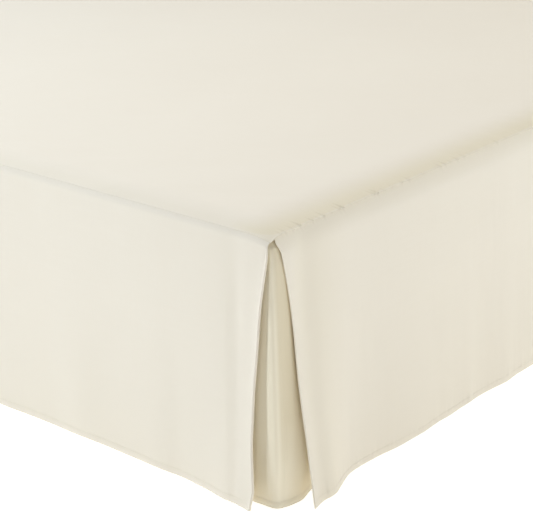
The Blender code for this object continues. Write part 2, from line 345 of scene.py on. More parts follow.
# Hems: the height of their stitch line, their swell, the groove along the line and its puckers
HEM_DEPTH = 0.010
HEM_SWELL = 0.00010
HEM_SWELL_ABOVE = 0.002
HEM_SWELL_RUN = 0.003
HEM_GROOVE = 0.00008
HEM_GROOVE_WIDTH = 0.0013
HEM_PUCKER = 0.0004
HEM_PUCKER_REACH = 0.006
CRIMP_PITCH = 0.012
CRIMP_WIDE_PITCH = 0.040
CRIMP_WIDE_SHARE = 0.8

# Stitches: their size and spacing, their rings as places and sizes, and the ends of their
# lines on the drops
STITCH_LENGTH = 0.0026
STITCH_PITCH = 0.0036
STITCH_RADIUS = 0.00024
STITCH_RAISED = 0.6
STITCH_RINGS = ((0.0, 0.35), (0.18, 1.0), (0.82, 1.0), (1.0, 0.35))
STITCH_SIDES = 6
STITCHES_FROM = 0.002
LINE_FROM = 0.036
LINE_TO_FOLD = 0.033
LINE_TO_END = 0.004
LINE_PITCH = 0.004

# The threads' pitch, and the scales of the cloth's slubs, small dents and faint tone
THREAD_PITCH = 0.00045
SLUB_SCALE = 320.0
SLUB_DRAWN = 0.94
DENT_SCALE = 9.0
TONE_SCALE = 3.0

# The range that most noise values lie in
NOISE_LOW, NOISE_HIGH = 0.3, 0.7

# Cloth, thread, ticking, tape and wood colours, linear, most with the tone they vary to
CREAM = ((0.884, 0.817, 0.684), (0.866, 0.795, 0.662))
# The pleat inserts' cream: a more saturated copy of the cloth's, standing in for the warm shade
# inside the pleats, painted shade
CREAM_PAINTED_SHADE = ((0.898, 0.822, 0.635), (0.880, 0.802, 0.615))
THREAD_COLOUR = (0.840, 0.770, 0.630)
THREAD_DARKER = 0.86
TICKING = ((0.800, 0.780, 0.735), (0.750, 0.728, 0.680))
TAPE_COLOURS = ((0.640, 0.615, 0.560), (0.580, 0.555, 0.505))
WOOD_COLOURS = ((0.30, 0.165, 0.075), (0.50, 0.315, 0.165))

# Painted shade: each has a deeper colour, and how much of it shows at places along X, Y or Z
PaintedShade = namedtuple("PaintedShade", "colour ramps")
# Painted shade along the seams: on the platform's fall to them, strongest near its sides, and on
# the side drops just below
SEAM_SHADE_RAMP = (
    (SEAM_HEIGHT - 0.030, 0.0),
    (SEAM_HEIGHT, 0.45),
    (SEAM_HEIGHT + 0.001, 1.0),
    (SEAM_HEIGHT + 0.004, 1.0),
    (DECK_TOP - 0.0004, 0.0),
)
SIDE_SHADE_RAMP = (
    (0.030 - BED_WIDTH / 2, 1.0),
    (0.075 - BED_WIDTH / 2, 0.25),
    (BED_WIDTH / 2 - 0.075, 0.25),
    (BED_WIDTH / 2 - 0.030, 1.0),
)
DECK_SEAM_PAINTED_SHADE = PaintedShade((0.853, 0.775, 0.596), (("Z", SEAM_SHADE_RAMP), ("X", SIDE_SHADE_RAMP)))
DROP_SEAM_PAINTED_SHADE = PaintedShade((0.880, 0.798, 0.618), (("Z", SEAM_SHADE_RAMP),))
# Painted shade on the side drops beside the foot corners' folds
BESIDE_SIDE_SHADE_RAMP = (
    (FOOT_SEAM + 0.030, 0.0),
    (FOOT_SEAM + 0.058, 1.0),
    (FOOT_SEAM + 0.090, 1.0),
    (FOOT_SEAM + 0.150, 0.0),
)
BESIDE_SIDE_PAINTED_SHADE = PaintedShade((0.860, 0.788, 0.640), (("Y", BESIDE_SIDE_SHADE_RAMP),))
# Painted shade on the foot drop beside its right-hand fold
BESIDE_FOOT_SHADE_RAMP = (
    (BED_WIDTH / 2 - 0.120, 0.0),
    (BED_WIDTH / 2 - 0.078, 1.0),
    (BED_WIDTH / 2 - 0.058, 1.0),
    (BED_WIDTH / 2 - 0.045, 0.0),
)
BESIDE_FOOT_PAINTED_SHADE = PaintedShade((0.864, 0.796, 0.662), (("X", BESIDE_FOOT_SHADE_RAMP),))
# Painted shade, darker towards the drops' hems
LOWER_SHADE_RAMP = ((HEM_HEIGHT, 1.0), (HEM_HEIGHT + 0.240, 0.0))
LOWER_PAINTED_SHADE = PaintedShade((0.842, 0.777, 0.645), (("Z", LOWER_SHADE_RAMP),))
# Painted shade in the pleat inserts, round their corners and behind the side drops, fading towards
# the hem
PLEAT_SHADE_RAMP = ((FOOT_SEAM + 0.001, 0.0), (FOOT_SEAM + 0.006, 0.75), (FOOT_SEAM + 0.026, 1.0))
PLEAT_SHADE_FADE = ((HEM_HEIGHT + 0.020, 0.1), (HEM_HEIGHT + 0.140, 1.0))
# Painted shade along the pleat inserts' hems
PLEAT_HEM_SHADE_RAMP = ((HEM_HEIGHT, 0.9), (HEM_HEIGHT + 0.004, 0.5), (HEM_HEIGHT + 0.014, 0.0))
PLEAT_HEM_PAINTED_SHADE = PaintedShade((0.700, 0.640, 0.490), (("Z", PLEAT_HEM_SHADE_RAMP),))
# The pleat inserts' painted shade, from the two ramps above
PLEAT_PAINTED_SHADE = PaintedShade((0.738, 0.640, 0.446), (("Y", PLEAT_SHADE_RAMP), ("Z", PLEAT_SHADE_FADE)))

# The faint wrinkles of each cloth: their direction, how drawn out, how fine, and how deep
Wrinkles = namedtuple("Wrinkles", "along squeeze scale depth")
DECK_WRINKLES = Wrinkles((0.745, 0.667, 0.0), 0.25, 12.0, 0.0045)
DROP_WRINKLES = Wrinkles((0.0, 0.0, 1.0), 0.22, 9.0, 0.0050)

# The pale studio: the floor, the room, and its lights by place, size, power and colour, all
# aimed at one point
FLOOR_COLOUR = (0.92, 0.92, 0.92, 1.0)
FLOOR_GLOW = 0.76
FLOOR_SIDE = 40.0
ROOM_COLOUR = (1.0, 1.0, 1.0, 1.0)
ROOM_STRENGTH = 0.01
LIGHTS_AIM = (0.762, -1.002, 0.3)
Lamp = namedtuple("Lamp", "name place wide high power colour")
STUDIO_LIGHTS = (
    Lamp("key_left", (-1.13, -2.70, 2.85), 0.35, 1.2, 54.6, (0.80, 0.90, 1.0)),
    Lamp("overhead", (0.80, -1.05, 3.90), 2.4, 1.6, 30.4, (1.0, 0.91, 0.93)),
    Lamp("front_right", (3.10, -2.00, 2.85), 2.4, 1.6, 11.7, (1.0, 0.94, 0.84)),
    Lamp("left_high", (-1.78, -0.86, 2.85), 2.4, 1.6, 35.2, (0.82, 0.92, 1.0)),
    Lamp("left_back", (-6.26, -0.62, 1.80), 4.8, 3.2, 189.0, (0.81, 0.83, 1.0)),
    Lamp("right_back", (0.90, 1.54, 2.85), 2.4, 1.6, 32.0, (1.0, 0.94, 0.80)),
    Lamp("right_low", (3.38, 1.35, 1.05), 2.4, 1.6, 35.5, (0.77, 0.88, 1.0)),
)

# The camera stands off the foot's right-hand corner, as it did for the photo
CORNER = Vector((BED_WIDTH / 2, FOOT_SEAM, 0.0))
CAMERA_PLACE = CORNER + Vector((1.436, -1.610, 1.205 + HEM_HEIGHT))
CAMERA_YAW = math.radians(-41.87)
CAMERA_PITCH = math.radians(20.88)
CAMERA_ROLL = math.radians(-1.76)
IMAGE_WIDTH = 533
FOCAL_PIXELS = 1737.1
SENSOR = 36.0


def smooth(share):
    """A soft step from 0 to 1."""
    share = np.clip(share, 0.0, 1.0)
    return share * share * (3.0 - 2.0 * share)


def risen(value, start, run):
    """A soft step up from a start, over a run."""
    return smooth((value - start) / run)


def edge_fall(inside, run):
    """How far the platform has fallen at a distance inside one of its seams."""
    share = np.maximum(0.0, 1.0 - inside / run)
    return EDGE_FALL * share**2


def deck_height(from_side, from_end):
    """The platform's top at its distances from the nearest side seam and end."""
    return DECK_TOP - np.hypot(edge_fall(from_side, SIDE_RUN), edge_fall(from_end, END_RUN))


def fold_sum(folds, place):
    """The folds' depth at places along a hem."""
    total = np.zeros_like(place)
    for fold in folds:
        total += fold.depth * np.exp(-(((place - fold.place) / fold.width) ** 2))
    return total


def flare(shape, place):
    """The outward flare near a corner, at a distance along the seam from it."""
    share = (place - shape.whole) / (shape.gone - shape.whole)
    return shape.depth * (1.0 - smooth(share))


def ripples(place, seed, pitch, count=7):
    """Uneven low waves along a line, between about -1 and 1, the same for each seed."""
    draw = np.random.default_rng(seed)
    total = np.zeros_like(place)
    for _ in range(count):
        wave = pitch * draw.uniform(0.6, 2.2)
        total += draw.uniform(0.4, 1.0) * np.sin(2 * math.pi * place / wave + draw.uniform(0, 6.28))
    return total / math.sqrt(count)


def drawn_puckers(length, start, seed, scale=1.0):
    """Puckers at uneven places along a seam, from a start to its end."""
    draw = np.random.default_rng(seed)
    puckers = []
    place = start
    while place < length:
        reach = draw.uniform(*PUCKER_REACH)
        depth = draw.uniform(*PUCKER_DEPTH) * scale
        puckers.append(Pucker(place, reach, draw.uniform(*PUCKER_WIDTH), depth))
        gap = draw.random() < PUCKER_GAP_CHANCE
        place += draw.uniform(*PUCKER_GAP) if gap else PUCKER_STEP
    return puckers


def pucker_height(puckers, along, inside, slant=PUCKER_SLANT):
    """The puckers' ridges and troughs at distances along a seam and away from it."""
    total = np.zeros(np.broadcast(along, inside).shape)
    for pucker in puckers:
        fade = np.clip(1.0 - inside / pucker.reach, 0.0, 1.0) ** PUCKER_FADE
        away = (along - pucker.place - slant * inside) / pucker.width
        ridge = np.cos(PUCKER_WAVE * away) * np.exp(-PUCKER_SPREAD * away**2)
        total += pucker.depth * fade * ridge
    return total


RIGHT_PUCKERS = list(SIDE_PUCKERS) + drawn_puckers(BED_LENGTH, RIGHT_DRAWN_FROM, 11)
LEFT_PUCKERS = drawn_puckers(BED_LENGTH, LEFT_DRAWN_FROM, 12)
FOOT_PUCKERS = drawn_puckers(BED_WIDTH, FOOT_DRAWN_FROM, 13, FOOT_PUCKER_SHARE)


def hem_relief(up):
    """The hem's swell and the groove along its stitches, at heights above its edge."""
    swell = smooth((HEM_DEPTH + HEM_SWELL_ABOVE - up) / HEM_SWELL_RUN)
    groove = np.exp(-(((up - HEM_DEPTH) / HEM_GROOVE_WIDTH) ** 2))
    return HEM_SWELL * swell - HEM_GROOVE * groove


def groove_rows(above):
    """Depths of the close rows across a hem's groove, from a distance above its line."""
    line = DROP - HEM_DEPTH
    return np.arange(line - above, line + GROOVE_ROWS_BELOW, GROOVE_ROW_PITCH)


def in_scene(name, data):
    """A new object in the scene."""
    made = bpy.data.objects.new(name, data)
    bpy.context.scene.collection.objects.link(made)
    return made


def ridden(name, mesh, finish, place=(0.0, 0.0, 0.0)):
    """A piece from a mesh and its material, riding on the bed."""
    mesh.materials.append(finish)
    piece = in_scene(name, mesh)
    piece.location = place
    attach(piece, "root")
    return piece


def cloth_piece(name, points, flip, finish):
    """A sheet from rows and columns of points, thickened inwards and riding on the bed."""
    rows, columns = points.shape[:2]
    index = np.arange(rows * columns).reshape(rows, columns)
    corners = [index[:-1, :-1], index[:-1, 1:], index[1:, 1:], index[1:, :-1]]
    faces = np.stack(corners, axis=-1).reshape(-1, 4)
    if flip:
        faces = faces[:, ::-1]
    mesh = bpy.data.meshes.new(name)
    mesh.from_pydata(points.reshape(-1, 3).tolist(), [], faces.tolist())
    mesh.shade_smooth()
    piece = ridden(name, mesh, finish)
    solid = piece.modifiers.new("cloth", "SOLIDIFY")
    solid.thickness = CLOTH
    solid.offset = -1.0
    return piece


class Drop:
    """One hanging panel, in the frame of its seam: along it, out from it and up."""

    def __init__(self, length, folds, dent, corner_flare, edge_column, shoulder, puckers, seed):
        self.length = length
        self.folds = folds
        self.dent = dent
        self.corner_flare = corner_flare
        self.heights = [row.height for row in FOLD_EDGES]
        self.ends = [getattr(row, edge_column) for row in FOLD_EDGES]
        self.rolls = [row.roll * shoulder.roll for row in FOLD_EDGES]
        self.both_ends = edge_column == "foot"
        self.shoulder = shoulder
        self.puckers = puckers
        self.seed = seed

    def out(self, along, share):
        """How far the face stands outside the seam, at a share of the way down."""
        depth = share * DROP
        rounded = 1.0 - (1.0 - np.minimum(1.0, depth / self.shoulder.depth)) ** 2
        hem = HEM_OUT - self.shoulder.out + fold_sum(self.folds, along)
        flared = flare(self.corner_flare, along)
        if self.both_ends:
            flared = flared + flare(self.corner_flare, self.length - along)
        out = self.shoulder.out * rounded + hem * share**FOLD_GROWTH + flared * share**FLARE_GROWTH
        out += fold_sum([self.dent], along) * share**DENT_GROWTH
        out += WAVE_DEPTH * ripples(along, self.seed, WAVE_PITCH) * share
        below = pucker_height(self.puckers, along, depth * PUCKER_BELOW_REACH, -PUCKER_SLANT)
        out += below * PUCKER_BELOW
        up = DROP - depth
        out += hem_relief(up)
        crimp = ripples(along, self.seed + 1, CRIMP_PITCH)
        crimp += CRIMP_WIDE_SHARE * ripples(along, self.seed + 2, CRIMP_WIDE_PITCH)
        out += HEM_PUCKER * crimp * np.exp(-np.abs(up - HEM_DEPTH) / HEM_PUCKER_REACH)
        return out

    def top(self, along):
        """The height of the panel's top edge, just under the platform's rim."""
        end = np.minimum(along, self.length - along) if self.both_ends else along
        if self.both_ends:
            level = deck_height(end, 0.0)
        else:
            level = deck_height(0.0, np.minimum(end, self.length - along))
        return level - DROP_TUCK - self.shoulder.ditch

    def points(self, distance, turn, far, share):
        """Rows and columns of places: along the seam, out from it, and their heights."""
        share = share[:, None]
        level = SEAM_HEIGHT - DROP * share
        roll = np.interp(level, self.heights, self.rolls)
        shift = np.interp(level, self.heights, self.ends) + roll
        back = (turn > TURNED_ROUND) & (distance > 0)
        distance = distance * np.where(back, risen(DROP * share, TURNED_FROM, TURNED_RUN), 1.0)
        fade = np.maximum(0.0, 1.0 - distance / END_FADE)
        axis = distance + shift * fade
        along = axis - roll * np.sin(turn)
        axis = np.where(far, self.length - axis, axis)
        along = np.where(far, self.length - along, along)
        top = self.top(along)
        height = top + (HEM_HEIGHT - top) * share
        lift = ripples(along, self.seed + 3, HEM_LIFT_PITCH) * share**HEM_LIFT_GROWTH
        height += HEM_LIFT * lift
        lip = self.shoulder.lip * np.exp(-distance / LIP_REACH) * smooth(share * LIP_ONSET)
        bead = BEAD_HEIGHT * np.exp(-((distance / BEAD_WIDTH) ** 2))
        beside = (distance - BEAD_GROOVE_PLACE) / BEAD_WIDTH
        bead -= BEAD_GROOVE * np.exp(-(beside**2))
        lip = lip + np.where(turn < TURNED_ROUND, bead, 0.0) * smooth(share * BEAD_ONSET)
        out = self.out(axis, share) + lip - roll + roll * np.cos(turn)
        return along, out, height


def drop_columns(length, both_ends, pitch):
    """The columns of a drop: the distance from an end, the turn round its roll, which end."""
    turned = [(TURNED_BACK * step / TURNED_STEPS, math.pi) for step in range(TURNED_STEPS, 0, -1)]
    rolled = [(0.0, math.pi * step / ROLL_TURNS) for step in range(ROLL_TURNS, 0, -1)]
    last = length / 2 if both_ends else length
    edge = EDGE_COLUMNS[-1] + FINE_PITCH
    fine = np.concatenate([EDGE_COLUMNS, np.arange(edge, FINE_REACH, pitch)])
    coarse = np.linspace(FINE_REACH, last, round((last - FINE_REACH) / COARSE_PITCH) + 1)
    face = [(float(place), 0.0) for place in np.concatenate([fine, coarse])]
    columns = [(place, turn, False) for place, turn in turned + rolled + face]
    if both_ends:
        columns += [(place, turn, True) for place, turn, _ in reversed(columns[:-1])]
    return [np.array(values) for values in zip(*columns)]


def drop_rows():
    """The rows of a drop, as shares of the way down, closer at the shoulder and the hem."""
    shoulder = [np.linspace(*span) for span in SHOULDER_ROWS]
    groove = groove_rows(GROOVE_ROWS_ABOVE)
    body = np.linspace(shoulder[-1][-1], groove[0], BODY_ROWS)[1:-1]
    return np.concatenate([*shoulder, body, groove, [DROP - LAST_ROW, DROP]]) / DROP


def stitch_line(drop, along):
    """The stitch line of a drop's hem: its places along the seam, out from it, and heights."""
    share = np.full_like(along, 1.0 - HEM_DEPTH / DROP)
    top = drop.top(along)
    return along, drop.out(along, share), top + (HEM_HEIGHT - top) * share


def hung(outward, along, out, height):
    """Places of the bed from places along the seam that faces outward, out from it, and heights."""
    if outward.x:
        x, y = outward.x * (BED_WIDTH / 2 + out), FOOT_SEAM + along
    else:
        x, y = BED_WIDTH / 2 - along, FOOT_SEAM - out
    return np.stack(np.broadcast_arrays(x, y, height), axis=-1)


def bridge(shape, loops, ends=True):
    """Faces between loops of equal length, then across both ends or back to the first."""
    pairs = list(zip(loops, loops[1:]))
    if not ends:
        pairs.append((loops[-1], loops[0]))
    for low, high in pairs:
        for turn in range(len(low)):
            after = (turn + 1) % len(low)
            shape.faces.new((low[turn], low[after], high[after], high[turn]))
    if ends:
        shape.faces.new(list(reversed(loops[0])))
        shape.faces.new(loops[-1])


def built_mesh(name, shape):
    """A smooth mesh from a shape that is then no longer needed."""
    mesh = bpy.data.meshes.new(name)
    shape.to_mesh(mesh)
    shape.free()
    mesh.shade_smooth()
    return mesh


def stitch_row(name, places, outward, finish):
    """Small thread stitches laid along a line of places, each a short tapered tube."""
    steps = np.linalg.norm(np.diff(places, axis=0), axis=1)
    travel = np.concatenate([[0.0], np.cumsum(steps)])
    shape = bmesh.new()
    for start in np.arange(STITCHES_FROM, travel[-1] - STITCH_LENGTH, STITCH_PITCH):
        low, high = [
            Vector([float(np.interp(end, travel, places[:, axis])) for axis in range(3)])
            for end in (start, start + STITCH_LENGTH)
        ]
        ahead = (high - low).normalized()
        out = Vector(outward(low)).normalized()
        side = ahead.cross(out).normalized()
        loops = []
        for share, size in STITCH_RINGS:
            centre = low.lerp(high, share) + out * (STITCH_RADIUS * STITCH_RAISED * size)
            loop = []
            for turn in range(STITCH_SIDES):
                angle = 2 * math.pi * turn / STITCH_SIDES
                across = side * math.cos(angle) + out * math.sin(angle)
                loop.append(shape.verts.new(centre + across * (STITCH_RADIUS * size)))
            loops.append(loop)
        bridge(shape, loops)
    bmesh.ops.recalc_face_normals(shape, faces=shape.faces)
    return ridden(name, built_mesh(name, shape), finish)


def make_drops(foot_finish, side_finish, thread):
    """The foot drop and the two side drops, each with the stitches of its hem."""
    foot = Drop(
        BED_WIDTH, FOOT_FOLDS, FOOT_DENT, FOOT_FLARE, "foot", FOOT_SHOULDER, FOOT_PUCKERS, 21
    )
    side_edge = (SIDE_DENT, SIDE_FLARE, "side", SIDE_SHOULDER)
    right = Drop(BED_LENGTH, SIDE_RIGHT_FOLDS, *side_edge, RIGHT_PUCKERS, 31)
    left = Drop(BED_LENGTH, SIDE_LEFT_FOLDS, *side_edge, LEFT_PUCKERS, 41)
    rows = drop_rows()
    plan = (
        ("foot", foot, Vector((0, -1, 0)), foot_finish),
        ("side_right", right, Vector((1, 0, 0)), side_finish),
        ("side_left", left, Vector((-1, 0, 0)), side_finish),
    )
    for name, drop, outward, finish in plan:
        pitch = FOOT_PITCH if drop.both_ends else FINE_PITCH
        columns = drop_columns(drop.length, drop.both_ends, pitch)
        points = hung(outward, *drop.points(*columns, rows))
        piece = cloth_piece(f"skirt_drop_{name}", points, outward.x > 0, finish)
        last = drop.length - (LINE_TO_FOLD if drop.both_ends else LINE_TO_END)
        line = hung(outward, *stitch_line(drop, np.arange(LINE_FROM, last, LINE_PITCH)))
        stitches = stitch_row(f"hem_stitches_{name}", line, lambda place: outward, thread)
        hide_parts(f"drop_{name}")


def edge_places(close, pitch, count):
    """Distances in from a side seam: close together, then wider to the edge band's end."""
    return np.concatenate([np.arange(0.0, close, pitch), np.linspace(close, EDGE_BAND, count)])


def make_platform(finish):
    """The deck cloth: flat, rolled down to its seams, and puckered along the sides."""
    half = BED_WIDTH / 2
    inner = np.linspace(EDGE_BAND - half, half - EDGE_BAND, INNER_COLUMNS)[1:-1]
    right_band = half - edge_places(*RIGHT_COLUMNS)[::-1]
    across = np.concatenate([edge_places(*LEFT_COLUMNS) - half, inner, right_band])
    foot_rows = np.arange(0.0, FINE_REACH, FINE_PITCH)
    far_rows = np.linspace(FINE_REACH, BED_LENGTH - END_RUN, FAR_ROWS)
    head_rows = BED_LENGTH - END_RUN * (1.0 - np.linspace(0.0, 1.0, HEAD_ROWS)[1:])
    along = np.concatenate([foot_rows, far_rows, head_rows])
    curls = np.array([out for out, _ in RIM_CURL])
    drops = np.array([fall for _, fall in RIM_CURL])
    across = np.concatenate([-half - curls[::-1], across, half + curls])
    along = np.concatenate([-curls[::-1], along, BED_LENGTH + curls])
    across_grid, along_grid = np.meshgrid(across, along)
    from_side = half - np.abs(across_grid)
    from_foot = along_grid
    from_head = BED_LENGTH - along_grid
    from_end = np.minimum(from_foot, from_head)
    height = deck_height(np.maximum(from_side, 0.0), np.maximum(from_end, 0.0))
    fall = np.interp(-from_side, curls, drops, left=0.0)
    fall = np.maximum(fall, np.interp(-from_end, curls, drops, left=0.0))
    height -= np.where((from_side < 0) | (from_end < 0), fall, 0.0)
    right = across_grid > 0
    ridge_right = pucker_height(RIGHT_PUCKERS, from_foot, np.maximum(from_side, 0.0))
    ridge_left = pucker_height(LEFT_PUCKERS, from_foot, np.maximum(from_side, 0.0))
    ridge_foot = pucker_height(FOOT_PUCKERS, half - across_grid, np.maximum(from_foot, 0.0))
    height += np.where(right, ridge_right, ridge_left) + ridge_foot
    ditch = np.exp(-(((from_side - DITCH_PLACE) / DITCH_WIDTH) ** 2)) * SIDE_SHOULDER.ditch
    height -= ditch * (1.0 + DITCH_UNEVEN * ripples(from_foot, 71, DITCH_PITCH))
    inside = smooth(np.minimum(from_side, from_end) / SWELL_RUN)
    swell = ripples(across_grid * 0.8 + along_grid * 0.5, 51, 0.35)
    swell += ripples(along_grid * 0.9 - across_grid * 0.4, 52, 0.45)
    height += DECK_SWELL * (swell + SWELL_LEVEL) * inside
    points = np.stack([across_grid, FOOT_SEAM + along_grid, height], axis=-1)
    piece = cloth_piece("skirt_platform", points, False, finish)
    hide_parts("platform")


def insert_points(mirror):
    """Rows and columns of the pleat insert, from behind the foot drop round to the side."""
    foot_count, corner_count, side_count = INSERT_COLUMNS
    foot = np.linspace(INSERT_FOOT_REACH - INSERT_ROUND, 0.0, foot_count)[:-1]
    side = np.linspace(0.0, INSERT_SIDE_REACH - INSERT_ROUND, side_count)[1:]
    turns = np.linspace(0.0, math.pi / 2, corner_count)
    distance = np.concatenate([-foot, np.zeros(len(turns)), side])
    turn = np.concatenate([np.zeros(len(foot)), turns, np.full(len(side), math.pi / 2)])
    rise = np.linspace(0.0, INSERT_RISE_DEPTH, INSERT_ROWS)
    groove = groove_rows(INSERT_ROWS_ABOVE)
    body = np.linspace(INSERT_RISE_DEPTH, groove[0], INSERT_ROWS)[1:-1]
    depth = np.concatenate([rise, body, groove, [DROP]])[:, None]
    share = depth / DROP
    place = distance + np.sign(distance) * INSERT_ROUND
    place = np.where(distance == 0.0, (turn / (math.pi / 2) - 0.5) * INSERT_ROUND, place)
    out = -INSERT_SEAM_IN + INSERT_OUT * smooth(depth / INSERT_RISE_DEPTH)
    out = out + fold_sum(INSERT_FOLDS, place) * share**INSERT_FOLD_GROWTH
    middle = risen(share, *BULGE_BEGINS) * (1.0 - risen(share, *BULGE_ENDS))
    out = out + fold_sum([INSERT_BULGE], place) * middle
    foot_place = -INSERT_ROUND * (1.0 - np.sin(turn)) + np.minimum(0.0, distance)
    across_crease = foot_place - CREASE_TOP - CREASE_LEAN * depth
    step = smooth(across_crease / CREASE_WIDTH + 0.5)
    shown = risen(depth, *CREASE_BEGINS) * (1.0 - risen(depth, *CREASE_ENDS))
    side_fade = 1.0 - risen(distance, *CREASE_SIDE_FADE)
    crease = CREASE_SET_BACK + (CREASE_RISE - CREASE_SET_BACK) * step
    out = out + crease * shown * side_fade
    ridge = np.exp(-(((turn - math.pi / 4) / CORNER_RIDGE_TURN) ** 2))
    ridge_shown = risen(depth, *RIDGE_BEGINS) * (1.0 - risen(share, *RIDGE_ENDS))
    out = out + CORNER_RIDGE * ridge * ridge_shown
    crumple = ripples(place + CRUMPLE_LEAN * depth, 61, CRUMPLE_PITCH)
    out += INSERT_CRUMPLE * crumple * np.exp(-depth / CRUMPLE_REACH)
    wave = ripples(place + INSERT_WAVE_LEAN * depth, 62, INSERT_WAVE_PITCH)
    out += INSERT_WAVE * wave * smooth(share * 2.0)
    out += hem_relief(DROP - depth)
    reach = INSERT_ROUND + out
    across = -INSERT_ROUND + reach * np.sin(turn) + np.minimum(0.0, distance)
    along = INSERT_ROUND - reach * np.cos(turn) + np.maximum(0.0, distance)
    top = deck_height(np.maximum(0.0, -across), np.maximum(0.0, along)) - CLOTH - DROP_TUCK
    height = top + (HEM_HEIGHT - top) * share
    side_x = BED_WIDTH / 2 + across
    if mirror:
        side_x = -side_x
    return np.stack([side_x, FOOT_SEAM + along, height], axis=-1)


def make_inserts(finishes, thread):
    """The underlay behind each foot corner, with its stitched hem."""
    for side, mirror in (("right", False), ("left", True)):
        points = insert_points(mirror)
        piece = cloth_piece(
            f"skirt_pleat_insert_{side}", points, not mirror, finishes[side]
        )
        line = points[np.argmin(np.abs(points[:, 0, 2] - HEM_HEIGHT - HEM_DEPTH))]
        middle = Vector(((BED_WIDTH / 2 - 0.05) * (-1 if mirror else 1), FOOT_SEAM + 0.05, 0.0))

        def outward(place):
            return Vector((place.x - middle.x, place.y - middle.y, 0.0))

        stitches = stitch_row(f"hem_stitches_insert_{side}", line, outward, thread)
        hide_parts(f"pleat_insert_{side}")


def turned_piece(name, profile, place, finish):
    """A turned solid from (radius, height) pairs, bottom to top."""
    angles = [2 * math.pi * turn / LEG_SIDES for turn in range(LEG_SIDES)]
    shape = bmesh.new()
    loops = []
    for radius, height in profile:
        ring = [(radius * math.cos(angle), radius * math.sin(angle), height) for angle in angles]
        loops.append([shape.verts.new(point) for point in ring])
    bridge(shape, loops)
    mesh = built_mesh(name, shape)
    mesh.set_sharp_from_angle(angle=math.radians(LEG_SMOOTH))
    return ridden(name, mesh, finish, place)


def make_legs(wood):
    """The six turned legs, each with a top collar, a long taper and a rounded foot."""
    for number in range(1, 7):
        low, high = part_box(f"leg_{number}")
        tall = high.z - low.z
        wide = (high.x - low.x) / 2
        profile = (
            (0.0165, 0.0),
            (0.0195, 0.0015),
            (0.0205, 0.005),
            (0.0215, 0.020),
            (0.0262, tall * 0.60),
            (0.0278, tall - 0.034),
            (0.0270, tall - 0.026),
            (0.0255, tall - 0.022),
            (0.0270, tall - 0.018),
            (wide - 0.0008, tall - 0.014),
            (wide, tall - 0.010),
            (wide, tall - 0.002),
            (wide - 0.0008, tall - 0.0006),
        )
        centre = (low + high) / 2
        leg = turned_piece(f"turned_leg_{number}", profile, (centre.x, centre.y, 0.0), wood)
        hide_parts(f"leg_{number}")


def rounded_ring(inset, height):
    """A loop round the base at an inset from its sides, with its rounded corners."""
    half_x = (BASE_HIGH.x - BASE_LOW.x) / 2 - inset
    half_y = (BASE_HIGH.y - BASE_LOW.y) / 2 - inset
    centre_y = (BASE_HIGH.y + BASE_LOW.y) / 2
    corner = max(LEAST_CORNER, BASE_CORNER - inset)
    ring = []
    for quarter in range(4):
        sign_x = (1, -1, -1, 1)[quarter]
        sign_y = (1, 1, -1, -1)[quarter]
        places = []
        for step in range(CORNER_STEPS + 1):
            angle = math.pi / 2 * (quarter + step / CORNER_STEPS)
            x = sign_x * (half_x - corner) + corner * math.cos(angle)
            y = sign_y * (half_y - corner) + corner * math.sin(angle)
            places.append((x, y))
        last_x, last_y = places[-1]
        next_x = -last_x if quarter % 2 == 0 else last_x
        next_y = last_y if quarter % 2 == 0 else -last_y
        count = STRAIGHT_STEPS[quarter % 2]
        for step in range(1, count):
            share = step / count
            x = last_x + (next_x - last_x) * share
            y = last_y + (next_y - last_y) * share
            places.append((x, y))
        ring += [(x, y + centre_y, height) for x, y in places]
    return ring


def lofted(name, rings, finish, closed_ends):
    """A solid through rings of equal length, or a tube that comes back to its first ring."""
    shape = bmesh.new()
    loops = [[shape.verts.new(place) for place in ring] for ring in rings]
    bridge(shape, loops, closed_ends)
    bmesh.ops.recalc_face_normals(shape, faces=shape.faces)
    mesh = built_mesh(name, shape)
    mesh.set_sharp_from_angle(angle=math.radians(COVER_SMOOTH))
    return ridden(name, mesh, finish)


def make_base(ticking, tape):
    """The box spring's cover: a padded border and top, with a bound edge top and bottom."""
    low = BASE_LOW.z
    high = BASE_HIGH.z - BASE_SINK
    border_low = low + BORDER_FROM
    border_top = high - BASE_EDGE
    rings = [rounded_ring(inset, low + rise) for inset, rise in UNDERSIDE_RINGS]
    for row in range(1, BORDER_ROWS):
        share = row / BORDER_ROWS
        puff = BORDER_PUFF * math.sin(math.pi * share)
        height = border_low + (border_top - border_low) * share
        rings.append(rounded_ring(BORDER_INSET - puff, height))
    for step in range(CORNER_STEPS + 1):
        angle = math.pi / 2 * step / CORNER_STEPS
        inset = EDGE_INSET + BASE_EDGE * (1.0 - math.cos(angle))
        height = border_top + (BASE_EDGE - EDGE_SINK) * math.sin(angle)
        rings.append(rounded_ring(inset, height))
    rings.append(rounded_ring(TOP_RING, high - EDGE_SINK))
    cover = lofted("box_spring_cover", rings, ticking, True)
    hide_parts("box_spring")
    for name, height in (("tape_low", low + TAPE_LOW), ("tape_high", border_top + TAPE_HIGH)):
        loops = []
        for step in range(TAPE_STEPS):
            angle = 2 * math.pi * step / TAPE_STEPS
            inset = TAPE_INSET - TAPE_RADIUS * math.cos(angle)
            raised = TAPE_RADIUS * TAPE_TALLER * math.sin(angle)
            loops.append(rounded_ring(inset, height + raised))
        bound = lofted(name, loops, tape, False)


def set_inputs(tree, made, values):
    """A node's inputs by name or number, each set to a value or linked to a socket."""
    for name, value in values.items():
        if isinstance(value, bpy.types.NodeSocket):
            tree.links.new(value, made.inputs[name])
        else:
            made.inputs[name].default_value = value


def node(tree, kind, inputs, **settings):
    """A shader node with its settings and inputs."""
    made = tree.nodes.new(kind)
    for name, value in settings.items():
        setattr(made, name, value)
    set_inputs(tree, made, inputs)
    return made


